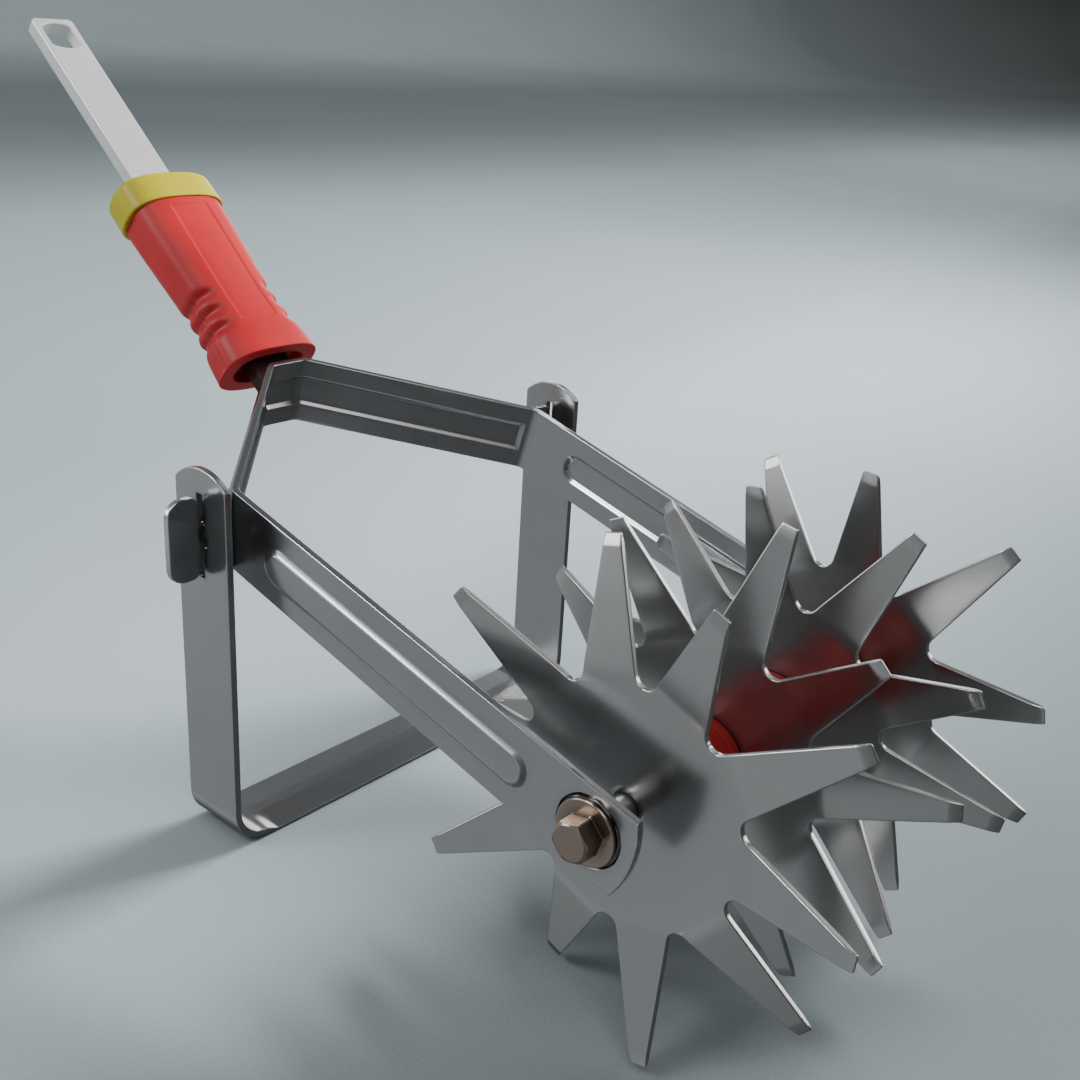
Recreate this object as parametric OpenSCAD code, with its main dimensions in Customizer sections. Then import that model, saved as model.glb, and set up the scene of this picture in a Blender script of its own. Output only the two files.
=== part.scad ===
// Rotary hand cultivator head: four star wheels and a swinging blade on a bent strap yoke,
// with a grip and a flat tongue that plugs into a long handle.
//
// The tool is drawn in its own frame first: x along the wheel axle, y from the axle towards
// the grip, z square to both, origin in the middle of the axle. place() then sets the head
// down on its wheels and blade, with the floor at z = 0. Millimetres and degrees.

/* [Yoke] */
// Width over the outside of the two arms, which is the working width
yoke_w = 150; // [120:1:180]
// Thickness of the strap
strap_t = 2.5; // [2:0.1:3.5]
// Height of the strap
strap_h = 26.6; // [22:0.1:34]
// Axle to the inside corner of each arm
arm_y = 157.2; // [140:0.1:180]
// Axle to the inside face of the middle strap
mid_y = 222.4; // [200:0.1:250]
// Half length of the middle strap, inside
mid_hw = 7.6; // [5:0.1:12]
// Inside radius of the bends
bend_ri = 3.5; // [2.5:0.1:6]
// Axle to the end of an arm, on its centre line
arm_end = 15.2; // [12:0.1:20]
// Drop of the shallow arc across the end of an arm
arm_end_drop = 2.7; // [1:0.1:5]
// Half width of the pressed beads
bead_hw = 6; // [4:0.1:8]
// Depth of the pressed beads
bead_d = 1.2; // [0.6:0.1:2]
// Start of the bead on an arm
bead_y0 = 22.7; // [20:0.1:40]
// End of the bead on an arm
bead_y1 = 137; // [120:0.1:150]

/* [Star wheels] */
// Radius over the tips of the teeth
star_r = 74.75; // [60:0.05:90]
// Distance between neighbouring wheels
star_pitch = 38.4; // [34:0.1:44]
// Teeth on each wheel, an even number
teeth = 10; // [8:2:12]
// Thickness of the wheel sheet
star_t = 2; // [1.5:0.1:3]
// Distance from the axle to the bend line of a tooth
tooth_bend_r = 38; // [34:0.1:44]
// Sideways offset of a tooth at its tip
tooth_out = 8.76; // [4:0.02:12]
// Width of the flat end of a tooth
tooth_tip_w = 5.2; // [3:0.1:8]
// Half width gained by a tooth per millimetre towards the root
tooth_flare = 0.171; // [0.1:0.001:0.25]
// Length of the bevel on both faces at the tip of a tooth
tip_bevel = 3.6; // [2:0.1:6]
// Thickness left at the tip of a tooth
tip_edge = 0.6; // [0.4:0.1:1.5]
// Radius of the rounded root between two teeth
root_r = 3.9; // [2:0.1:6]
// Distance from the axle to the centre of a rounded root
root_c = 41; // [38:0.1:46]
// Angle of the first tooth of the wheel next to the bolt head
phase_1 = 24.25; // [0:0.05:72]
// Angle of the first tooth of the second wheel
phase_2 = 48.5; // [0:0.05:72]
// Angle of the first tooth of the third wheel
phase_3 = 65.8; // [0:0.05:72]
// Angle of the first tooth of the fourth wheel
phase_4 = 8.1; // [0:0.05:72]
// Radius of the plastic hubs
hub_r = 13.6; // [11:0.1:18]
// Radius of the hub boss that fills the bore of a wheel
boss_r = 4.1; // [3.8:0.05:4.2]
// Running gap between two neighbouring hubs
hub_gap = 0.2; // [0.1:0.05:0.5]

/* [Axle] */
// Radius of the axle bolt
bolt_r = 3; // [2.5:0.5:4]
// Radial clearance of the hubs on the bolt
run_c = 0.05; // [0.02:0.01:0.1]
// Outside radius of the spacer tubes
tube_r = 4.25; // [4:0.05:6]
// Radius of the round flange on the bolt head and on the nut
flange_r = 9.9; // [8:0.1:10.2]
// Thickness of the round flange
flange_t = 1.9; // [1.2:0.1:3]
// Radius of the shallow round seat in the arm for the flange
seat_r = 10.5; // [10.3:0.1:12]
// Depth of that seat
seat_d = 0.4; // [0.2:0.1:0.8]
// Size across the flats of the bolt head and the nut
hex_af = 11; // [8:0.5:13]
// Length of the hexagon on the bolt head
head_l = 6.5; // [4:0.1:10]
// Length of the hexagon on the nut
nut_l = 6; // [4:0.1:10]

/* [Swinging blade] */
// Inside width between the two legs
stirrup_in = 166.8; // [150:0.1:200]
// Thickness of the legs and the blade
blade_t = 2.5; // [2:0.1:3.5]
// Width of the legs, front to back
leg_w = 25.5; // [20:0.1:36]
// Width of the ground bevel on top of the blade
bevel_w = 10.3; // [4:0.1:14]
// Thickness left at the cutting edge
edge_t = 0.4; // [0.2:0.1:1]
// Tilt of the legs, away from square to the arms
leg_tilt = 15.67; // [0:0.01:25]
// Axle to the centre plane of the legs, along the arms
leg_y = 149.71; // [140:0.01:170]
// Pivot above the axle, along the legs
pivot_u = 42.2; // [30:0.1:50]
// Bottom of the blade below the axle, along the legs
blade_u = 68.2; // [50:0.1:75]
// Top of the legs above the axle, along the legs
dome_u = 64.5; // [55:0.1:75]
// Outside radius of the two bends
blade_ro = 13; // [8:0.1:18]
// Radius of the hole round the neck of a tab
eye_r = 4.7; // [4.3:0.1:6]
// Length of the slot that lets the head of a tab through
slot_l = 28.4; // [28:0.1:34]
// Width of that slot
slot_w = 3.2; // [2.9:0.1:4]

/* [Pivot tabs] */
// Axle to the centre plane of the tabs, along the arms
tab_y = 150.06; // [140:0.01:170]
// Thickness of a tab
tab_t = 2.6; // [2:0.1:3.5]
// Height of the cross head
tab_h = 27.6; // [20:0.1:30]
// Width of the cross head
tab_w = 11.6; // [8:0.1:16]
// Height of the neck
neck_h = 8; // [5:0.1:8.5]
// Gap between a leg and the cross head
tab_gap = 0.9; // [0.4:0.1:2]

/* [Tongue, grip and collar] */
// Rise of the tongue above the arms
tongue_up = 24.46; // [0:0.01:40]
// Tongue centre plane below the axle, square to the tongue
tongue_n = 91.7; // [80:0.1:100]
// Tongue width
tongue_w = 18.5; // [14:0.1:25]
// Tongue thickness
tongue_t = 6; // [4:0.1:8]
// End of the tongue, along it
tongue_s = 398.9; // [360:0.1:430]
// Start of the grip
grip_s0 = 215; // [210:0.1:225]
// End of the grip and start of the collar
grip_s1 = 291; // [270:0.1:310]
// End of the collar
collar_s1 = 304.5; // [295:0.1:320]

/* [Hidden] */
$fn = 64;

// ---- derived sizes ----
arm_in = yoke_w / 2 - strap_t;
bend_ro = bend_ri + strap_t;
phases = [phase_1, phase_2, phase_3, phase_4];
star_x = [for (i = [0:3]) (i - 1.5) * star_pitch];
tooth_l0 = star_r - tooth_bend_r;
tooth_bend = asin(tooth_out / tooth_l0);          // bend of a tooth out of the wheel
tooth_l = (star_r - tooth_bend_r) / cos(tooth_bend);
tip_hw = tooth_tip_w / 2;
foot_hw = tip_hw + tooth_l0 * tooth_flare;
leg_in = stirrup_in / 2;
leg_out = leg_in + blade_t;
bead_in = mid_y + bead_d;
spacer_end = star_x[3] + star_t / 2 + 0.15;
head_x = yoke_w / 2;
seat_x = head_x - seat_d;                         // flanges rest here
neck_x1 = leg_out + tab_gap;
dome_r = 18;
dome_d = dome_r - sqrt(dome_r * dome_r - leg_w * leg_w / 4);

// ---- where the floor is ----
// Lowest points in the tool's own frame after it is tipped by an angle: the tip corners of
// all teeth and the rear bottom edge of the blade.
tip_r = star_r + tip_edge / 2 * sin(tooth_bend);
function tip_y(a, s) = tip_r * cos(a) - s * tip_hw * sin(a);
function tip_z(a, s) = tip_r * sin(a) + s * tip_hw * cos(a);
function low_star(b) = min([for (i = [0:3], t = [0:teeth - 1], s = [-1, 1])
  let (a = phases[i] + t * 360 / teeth) tip_y(a, s) * sin(b) + tip_z(a, s) * cos(b)]);
blade_rear = [leg_y + leg_w / 2, -blade_u];        // along the arms, along the legs
br_y = blade_rear[0] * cos(leg_tilt) + blade_rear[1] * sin(leg_tilt);
br_z = -blade_rear[0] * sin(leg_tilt) + blade_rear[1] * cos(leg_tilt);
function low_blade(b) = br_y * sin(b) + br_z * cos(b);
// the tipping angle at which both touch the floor, by halving an interval
function settle(lo, hi, n) = n == 0 ? (lo + hi) / 2 :
  let (m = (lo + hi) / 2) low_blade(m) > low_star(m) ? settle(lo, m, n - 1) : settle(m, hi, n - 1);
beta = settle(0, 30, 30);
floor_z = -min(low_star(beta), low_blade(beta));
// middle of the tool front to back, so that the origin sits in the middle of its box
front_y = min([for (i = [0:3], t = [0:teeth - 1], s = [-1, 1])
  let (a = phases[i] + t * 360 / teeth) tip_y(a, s) * cos(beta) - tip_z(a, s) * sin(beta)]);
back_a = beta + tongue_up;
back_y = tongue_s * cos(back_a) + (tongue_n + tongue_t / 2) * sin(back_a);
mid_shift = -(front_y + back_y) / 2;

steel = [0.46, 0.48, 0.49];
dark_steel = [0.40, 0.42, 0.43];
tongue_steel = [0.78, 0.74, 0.73];
red = [0.76, 0.13, 0.15];
yellow = [0.85, 0.78, 0.15];
bronze = [0.50, 0.44, 0.38];

module place() translate([0, mid_shift, floor_z]) rotate([beta, 0, 0]) children();
module tongue_frame() rotate([tongue_up, 0, 0]) children();
module leg_frame() rotate([-leg_tilt, 0, 0]) children();

// ---- a convex outline with exactly round corners: p = points, r = one radius each ----
function unit(v) = v / norm(v);
function nxt(p, i) = p[(i + 1) % len(p)];
function prv(p, i) = p[(i + len(p) - 1) % len(p)];
function half(p, i) = acos(unit(prv(p, i) - p[i]) * unit(nxt(p, i) - p[i])) / 2;
module rpoly(p, r) {
  polygon([for (i = [0:len(p) - 1], e = [0, 1])
    let (t = r[i] / tan(half(p, i)))
    p[i] + t * unit((e == 0 ? prv(p, i) : nxt(p, i)) - p[i])]);
  for (i = [0:len(p) - 1]) if (r[i] > 0)
    translate(p[i] + unit(unit(prv(p, i) - p[i]) + unit(nxt(p, i) - p[i])) * r[i] / sin(half(p, i)))
      circle(r = r[i]);
}

// outline of the yoke seen from above, grown outwards by g from its inside face
function yoke_pts(g, y0) =
  let (d = unit([mid_hw - arm_in, mid_y - arm_y]), a = atan2(-d[0], d[1]), b = 90 - a)
  [[-arm_in - g, y0], [arm_in + g, y0],
   [arm_in + g, arm_y + g * tan(a / 2)],
   [mid_hw + g * tan(b / 2), mid_y + g],
   [-mid_hw - g * tan(b / 2), mid_y + g],
   [-arm_in - g, arm_y + g * tan(a / 2)]];
module yoke_2d(g, y0) let (r = bend_ri + g) rpoly(yoke_pts(g, y0), [0, 0, r, r, r, r]);

// the part of the strap that carries the bead over the two slopes and the middle
module slope_zone() {
  let (d = unit([arm_in - mid_hw, arm_y - mid_y]), n = [-d[1], d[0]], c = [arm_in, arm_y] - 3 * d)
  polygon([c - 12 * n, c + 12 * n, c + 12 * n - 120 * d, [0, mid_y + 60], [0, mid_y - 40]]);
}

module yoke() color(steel) place() difference() {
  union() {
    linear_extrude(strap_h, center = true) difference() {
      yoke_2d(strap_t, -arm_end - 5);
      yoke_2d(0, -arm_end - 10);
    }
    // beads stand proud outside
    linear_extrude(2 * bead_hw, center = true) intersection() {
      difference() { yoke_2d(strap_t + bead_d, 0); yoke_2d(strap_t - 0.4, -10); }
      union() { slope_zone(); mirror([1, 0]) slope_zone(); }
    }
    for (m = [0, 1]) mirror([m, 0, 0]) translate([head_x - 0.4, 0, 0]) rotate([0, 90, 0])
      linear_extrude(bead_d + 0.4) arm_bead();
  }
  // and are hollow inside
  linear_extrude(2 * bead_hw - 2, center = true) intersection() {
    difference() { yoke_2d(bead_d, 0); yoke_2d(-1, -10); }
    offset_zone();
  }
  for (m = [0, 1]) mirror([m, 0, 0]) translate([arm_in - 0.4, 0, 0]) rotate([0, 90, 0])
    linear_extrude(bead_d + 0.4) arm_bead(1);
  // shallow round ends
  difference() {
    translate([-100, -arm_end - 20, -30]) cube([200, 24 + arm_end_drop, 60]);
    translate([0, -arm_end + end_r, 0]) rotate([0, 90, 0]) cylinder(h = 220, r = end_r, center = true);
  }
  rotate([0, 90, 0]) cylinder(h = 200, r = bolt_r + 0.1, center = true);
  // shallow round seats for the two flanges
  for (m = [0, 1]) mirror([m, 0, 0]) translate([seat_x, 0, 0]) rotate([0, 90, 0]) cylinder(h = 10, r = seat_r);
}
end_r = (strap_h * strap_h / 4 + arm_end_drop * arm_end_drop) / (2 * arm_end_drop);
module offset_zone() { slope_zone(); mirror([1, 0]) slope_zone(); }
// x of this outline is the strap's height, y runs along the arm
module arm_bead(in = 0) let (h = bead_hw - in) {
  translate([-h, bead_y0 + bead_hw]) square([2 * h, bead_y1 - bead_y0 - 2 * bead_hw]);
  translate([0, bead_y0 + bead_hw]) circle(r = h);
  translate([0, bead_y1 - bead_hw]) circle(r = h);
}

// solid block with the yoke's outside, for pieces that are fitted against it
module yoke_block() {
  linear_extrude(strap_h + 30, center = true) yoke_2d(strap_t, -60);
  linear_extrude(2 * bead_hw, center = true) intersection() {
    yoke_2d(strap_t + bead_d, 0);
    union() { slope_zone(); mirror([1, 0]) slope_zone(); translate([-1, 150]) square([2, 100]); }
  }
}

// cross-headed tab on the left; its plane holds the axle direction and the leg direction
module tab_2d() {
  // root, as high as the strap, with rounded corners beside the neck
  rpoly([[60, -strap_h / 2], [82, -strap_h / 2], [82, strap_h / 2], [60, strap_h / 2]], [0, 2, 2, 0]);
  translate([75, -neck_h / 2]) square([neck_x1 - 70, neck_h]);
  rpoly([[neck_x1, -tab_h / 2], [neck_x1 + tab_w, -tab_h / 2],
         [neck_x1 + tab_w, tab_h / 2], [neck_x1, tab_h / 2]], [3.5, 5.5, 5.5, 3.5]);
}
module tab() color(steel) place() difference() {
  leg_frame() translate([0, tab_y + tab_t / 2, pivot_u]) rotate([90, 0, 0])
    linear_extrude(tab_t) tab_2d();
  yoke_block();
}
module pivot_tab_left() tab();
module pivot_tab_right() mirror([1, 0, 0]) tab();

module tongue_blank(c = 0) translate([-tongue_w / 2 - c, 0, -tongue_n - tongue_t / 2 - c])
  cube([tongue_w + 2 * c, tongue_s, tongue_t + 2 * c]);
module tongue() color(tongue_steel) place() difference() {
  tongue_frame() translate([0, 0, -tongue_n - tongue_t / 2]) linear_extrude(tongue_t) difference() {
    rpoly([[-tongue_w / 2, 190], [tongue_w / 2, 190], [tongue_w / 2, tongue_s],
      [-tongue_w / 2, tongue_s]], [0, 0, 2, 2]);
    // locking hole, with both ends bulged
    translate([0, tongue_s - 9.7]) intersection() {
      square([13.2, 20], center = true);
      translate([0, 4.9]) circle(r = 11.9);
      translate([0, -4.9]) circle(r = 11.9);
    }
  }
  yoke_block();
}

// grip: [distance along the tongue, half width, half thickness] of each section
grip_n = -tongue_n + 0.1;
grip_rows = [[grip_s0, 20.9, 12.6], [grip_s0 + 1.6, 21.5, 13.2], [grip_s0 + 13, 19.9, 12.4],
  [grip_s0 + 30, 18.6, 11.6], [grip_s0 + 52, 19.5, 12.2], [grip_s1 - 0.01, 20.5, 12.9]];
module stadium(a, b) {
  square([2 * (a - b), 2 * b], center = true);
  for (s = [-1, 1]) translate([s * (a - b), 0]) circle(r = b, $fn = 40);
}
module grip_slice(q) translate([0, q[0], grip_n]) rotate([-90, 0, 0]) linear_extrude(0.01) stadium(q[1], q[2]);
module grip_sleeve() color(red) place() tongue_frame() difference() {
  union() for (i = [0:len(grip_rows) - 2]) hull() { grip_slice(grip_rows[i]); grip_slice(grip_rows[i + 1]); }
  // three finger grooves on each side
  for (m = [-1, 1], g = [16, 24, 32]) translate([m * 23.6, grip_s0 + g, grip_n])
    cylinder(h = 40, r = 5, center = true, $fn = 32);
  // round the tongue
  tongue_blank();
  translate([-12.5, grip_s0 - 1, grip_n - 6.5]) cube([25, 5, 13]);
}

module collar_ring() color(yellow) place() tongue_frame() difference() {
  translate([0, grip_s1, grip_n]) rotate([-90, 0, 0]) {
    translate([0, 0, 0.01]) linear_extrude(collar_s1 - grip_s1 - 1.2) stadium(22, 13.6);
    linear_extrude(collar_s1 - grip_s1) stadium(20.8, 12.4);
  }
  tongue_blank();
}

// hexagon with a round flange, pointing along +z from the flange face at z = 0
module hex_head(l) {
  cylinder(h = flange_t, r1 = flange_r, r2 = flange_r - 0.4);
  intersection() {
    cylinder(h = flange_t + l, r = hex_af / sqrt(3), $fn = 6);
    // chamfer at 30 degrees, down to a round face a little smaller than the flats
    cylinder(h = flange_t + l, r1 = hex_af / 2 - 0.5 + (flange_t + l) / tan(30), r2 = hex_af / 2 - 0.5);
  }
}
module axle_bolt() color(bronze) place() {
  translate([-seat_x, 0, 0]) rotate([0, -90, 0]) hex_head(head_l);
  translate([-seat_x - 1, 0, 0]) rotate([0, 90, 0]) cylinder(h = 2 * seat_x + flange_t + nut_l + 2.5, r = bolt_r);
}
module axle_nut() color(bronze) place() difference() {
  translate([seat_x, 0, 0]) rotate([0, 90, 0]) hex_head(nut_l);
  rotate([0, 90, 0]) cylinder(h = 300, r = bolt_r, center = true);
}
module spacer() color(dark_steel) place() rotate([0, 90, 0]) difference() {
  translate([0, 0, spacer_end]) cylinder(h = arm_in - spacer_end, r = tube_r);
  cylinder(h = 120, r = bolt_r + 0.1);
}
module spacer_left() spacer();
module spacer_right() mirror([1, 0, 0]) spacer();

// flat star wheel; the axle is z, teeth are bent by turns to -z and +z
module star() {
  difference() {
    rotate(180 / teeth) cylinder(h = star_t, r = tooth_bend_r / cos(180 / teeth), center = true, $fn = teeth);
    for (t = [0:teeth - 1]) rotate((t + 0.5) * 360 / teeth) translate([root_c, 0, 0])
      cylinder(h = 2 * star_t, r = root_r, center = true);
    cylinder(h = 2 * star_t, r = boss_r, center = true);
  }
  for (t = [0:teeth - 1]) rotate(t * 360 / teeth) translate([tooth_bend_r, 0, 0])
    rotate([0, (t % 2 == 0 ? 1 : -1) * tooth_bend, 0]) intersection() {
      translate([0, 0, -star_t / 2]) linear_extrude(star_t)
        polygon([[-0.8, -foot_hw], [tooth_l, -tip_hw], [tooth_l, tip_hw], [-0.8, foot_hw]]);
      // both faces are bevelled at the tip
      rotate([90, 0, 0]) linear_extrude(4 * foot_hw, center = true)
        polygon([[-2, -star_t / 2], [tooth_l - tip_bevel, -star_t / 2], [tooth_l, -tip_edge / 2],
          [tooth_l, tip_edge / 2], [tooth_l - tip_bevel, star_t / 2], [-2, star_t / 2]]);
    }
}
// z of the flat wheel goes to x of the tool; the first tooth points along y before the phase
module star_wheel(i) color(steel) place() translate([star_x[i], 0, 0]) rotate([phases[i], 0, 0])
  rotate([90, 0, 90]) star();
module star_wheel_1() star_wheel(0);
module star_wheel_2() star_wheel(1);
module star_wheel_3() star_wheel(2);
module star_wheel_4() star_wheel(3);

// half a hub: a drum on one side of a wheel and a boss into its bore
module half_hub(i, side, boss) color(red) place() translate([star_x[i], 0, 0]) rotate([0, side * 90, 0])
  difference() {
    union() {
      translate([0, 0, star_t / 2]) cylinder(h = (star_pitch - star_t - hub_gap) / 2, r = hub_r);
      translate([0, 0, star_t / 2 - boss]) cylinder(h = boss + 1, r = boss_r);
    }
    cylinder(h = 3 * star_pitch, r = bolt_r + run_c, center = true);
  }
module hub_1_inner() half_hub(0, 1, star_t);
module hub_2_outer() half_hub(1, -1, star_t / 2);
module hub_2_inner() half_hub(1, 1, star_t / 2);
module hub_3_inner() half_hub(2, -1, star_t / 2);
module hub_3_outer() half_hub(2, 1, star_t / 2);
module hub_4_inner() half_hub(3, -1, star_t);

// U-shaped strap seen from the front: x across, y along the legs, bend radii exact
module u_2d(x, bottom, r) rpoly([[-x, bottom], [x, bottom], [x, 90], [-x, 90]], [r, r, 0, 0]);
module stirrup_blade() color(steel) place() leg_frame() difference() {
  // legs and blade
  translate([0, leg_y + leg_w / 2, 0]) rotate([90, 0, 0])
    linear_extrude(leg_w) difference() {
      u_2d(leg_out, -blade_u, blade_ro);
      u_2d(leg_in, -blade_u + blade_t, blade_ro - blade_t);
    }
  // round tops
  translate([0, leg_y, 0]) rotate([90, 0, 90]) linear_extrude(300, center = true) difference() {
    translate([-40, 30]) square([80, 80]);
    union() {
      intersection() {
        translate([0, dome_u - dome_r]) circle(r = dome_r);
        translate([-leg_w / 2, 20]) square([leg_w, 80]);
      }
      translate([-leg_w / 2, 20]) square([leg_w, dome_u - 20 - dome_d]);
    }
  }
  // eye round the neck of each tab, with the slot for its head
  translate([0, tab_y, pivot_u]) {
    rotate([0, 90, 0]) cylinder(h = 300, r = eye_r, center = true);
    cube([300, slot_w, slot_l], center = true);
  }
  // ground edge: bevel on top of the front of the blade
  translate([0, leg_y - leg_w / 2, -blade_u]) rotate([90, 0, 90])
    linear_extrude(2 * (leg_out - blade_ro), center = true)
      polygon([[-1, edge_t], [0, edge_t], [bevel_w, blade_t], [bevel_w, blade_t + 0.5], [-1, blade_t + 0.5]]);
}

yoke();
pivot_tab_right();
pivot_tab_left();
tongue();
grip_sleeve();
collar_ring();
axle_bolt();
axle_nut();
spacer_right();
spacer_left();
star_wheel_1();
star_wheel_2();
star_wheel_3();
star_wheel_4();
hub_1_inner();
hub_2_outer();
hub_2_inner();
hub_3_inner();
hub_3_outer();
hub_4_inner();
stirrup_blade();
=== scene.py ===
# Looks of the rotary hand cultivator head: sheet-metal star wheels, a beaded strap yoke,
# a swinging blade, a moulded grip with its collar and a flat steel tongue.
# Every piece is drawn in the tool's own frame (millimetres: x along the axle, y towards the
# grip, z square to both, origin in the middle of the axle) and then set down on the floor.
import math

import bpy
import bmesh
import numpy as np
from mathutils import Matrix, Vector
from mathutils.geometry import tessellate_polygon


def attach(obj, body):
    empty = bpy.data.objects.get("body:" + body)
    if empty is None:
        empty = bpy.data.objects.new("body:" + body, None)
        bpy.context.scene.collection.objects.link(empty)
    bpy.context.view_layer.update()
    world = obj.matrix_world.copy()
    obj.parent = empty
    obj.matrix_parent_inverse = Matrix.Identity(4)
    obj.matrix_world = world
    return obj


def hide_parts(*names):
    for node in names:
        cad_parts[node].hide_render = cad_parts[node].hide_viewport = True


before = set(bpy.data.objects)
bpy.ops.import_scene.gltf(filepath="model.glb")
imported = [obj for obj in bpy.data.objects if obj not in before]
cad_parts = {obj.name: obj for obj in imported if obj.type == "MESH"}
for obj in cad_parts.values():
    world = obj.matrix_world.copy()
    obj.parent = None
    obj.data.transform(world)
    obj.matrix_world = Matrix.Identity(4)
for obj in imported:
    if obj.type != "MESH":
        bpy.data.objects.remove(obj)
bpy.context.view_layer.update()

# ---------------------------------------------------------------- sizes, mm and degrees
BETA = math.radians(13.305736)      # tipping of the tool on the floor
FLOOR_Z = 74.843823                 # axle above the floor
MID_SHIFT = -149.236004             # axle to the middle of the box
YOKE_W, STRAP_T, STRAP_H = 150.0, 2.5, 26.6
ARM_Y, MID_Y, MID_HW, BEND_RI = 157.2, 222.4, 7.6, 3.5
ARM_END, ARM_DROP = 15.2, 2.7
STAR_R, PITCH, TEETH, STAR_T = 74.75, 38.4, 10, 2.0
BEND_R, TOOTH_OUT, TIP_W, FLARE = 38.0, 8.76, 5.2, 0.171
ROOT_R, ROOT_C = 3.9, 41.0
PHASES = (24.25, 48.5, 65.8, 8.1)
HUB_R, BOSS_R = 13.6, 3.8
TIP_BEVEL, TIP_EDGE = 3.6, 0.6
SEAT_R, SEAT_X = 10.5, 74.6
LEG_T, LEG_W, LEG_TILT, LEG_Y = 2.5, 25.5, math.radians(15.67), 149.71
LEG_OUT, BLADE_U, PIVOT_U, DOME_U, DOME_R = 85.9, 68.2, 42.2, 64.5, 18.0
TAB_Y, TAB_T = 150.06, 2.6
TONGUE_UP = math.radians(24.46)
TONGUE_N, TONGUE_W, TONGUE_T, TONGUE_S = -91.7, 18.5, 6.0, 398.9
GRIP_N = -91.6

cb, sb = math.cos(BETA), math.sin(BETA)


def to_row(p):
    """tool frame in mm -> row frame in m"""
    p = np.asarray(p, float)
    y = p[:, 1] * cb - p[:, 2] * sb + MID_SHIFT
    z = p[:, 1] * sb + p[:, 2] * cb + FLOOR_Z
    return np.stack([p[:, 0], y, z], 1) * 0.001


def leg_frame(x, y, u):
    """x, local y, local u of the swinging blade -> tool frame"""
    c, s = math.cos(LEG_TILT), math.sin(LEG_TILT)
    return np.stack([x, y * c + u * s, -y * s + u * c], 1)


def tongue_frame(x, s, n):
    c, q = math.cos(TONGUE_UP), math.sin(TONGUE_UP)
    return np.stack([x, s * c - n * q, s * q + n * c], 1)


def smooth(x):
    x = np.clip(x, 0, 1)
    return x * x * (3 - 2 * x)


# ---------------------------------------------------------------- mesh helpers
class Part:
    """Collects vertices (tool frame, mm) and faces, then makes one object."""

    def __init__(self):
        self.v, self.f, self.n = [], [], 0

    def add(self, pts):
        pts = np.asarray(pts, float)
        self.v.append(pts)
        k = self.n
        self.n += len(pts)
        return k

    def faces(self, fs):
        self.f.extend(fs)

    def grid(self, idx, flip=False):
        """idx: 2-D array of vertex numbers"""
        a = idx[:-1, :-1].ravel()
        b = idx[1:, :-1].ravel()
        c = idx[1:, 1:].ravel()
        d = idx[:-1, 1:].ravel()
        for q in zip(a, b, c, d):
            q = q[::-1] if flip else q
            self.f.append(tuple(int(i) for i in q))

    def make(self, name, body, nodes, mats, merge=0.002, wn=True, angle=None, pick=None):
        verts = to_row(np.concatenate(self.v))
        me = bpy.data.meshes.new(name)
        me.from_pydata([tuple(p) for p in verts], [], self.f)
        bm = bmesh.new()
        bm.from_mesh(me)
        bmesh.ops.remove_doubles(bm, verts=bm.verts, dist=merge * 0.001)
        bmesh.ops.dissolve_degenerate(bm, dist=merge * 0.0005, edges=bm.edges)
        bmesh.ops.recalc_face_normals(bm, faces=bm.faces)
        bm.to_mesh(me)
        bm.free()
        me.polygons.foreach_set("use_smooth", [True] * len(me.polygons))
        ob = bpy.data.objects.new(name, me)
        bpy.context.scene.collection.objects.link(ob)
        for m in mats:
            me.materials.append(m)
        if pick is not None:
            for p in me.polygons:
                p.material_index = pick(p.center)
        if angle is not None:
            me.set_sharp_from_angle(angle=math.radians(angle))
        if wn:
            w = ob.modifiers.new("weighted", "WEIGHTED_NORMAL")
            w.mode = "FACE_AREA"
            w.weight = 60
            w.keep_sharp = True
        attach(ob, body)
        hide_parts(*nodes)
        return ob


def loop_normals(p):
    """outward normals of a closed anticlockwise loop, lengthened at corners"""
    e = np.roll(p, -1, 0) - p
    ln = np.linalg.norm(e, axis=1)
    e = e / np.maximum(ln, 1e-9)[:, None]
    n = np.stack([e[:, 1], -e[:, 0]], 1)
    m = n + np.roll(n, 1, 0)
    m = m / np.maximum(np.linalg.norm(m, axis=1), 1e-9)[:, None]
    c = np.clip((m * n).sum(1), 0.45, 1)
    return m / c[:, None]


ROUND = [math.radians(a) for a in (0, 30, 60, 90)]


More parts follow.
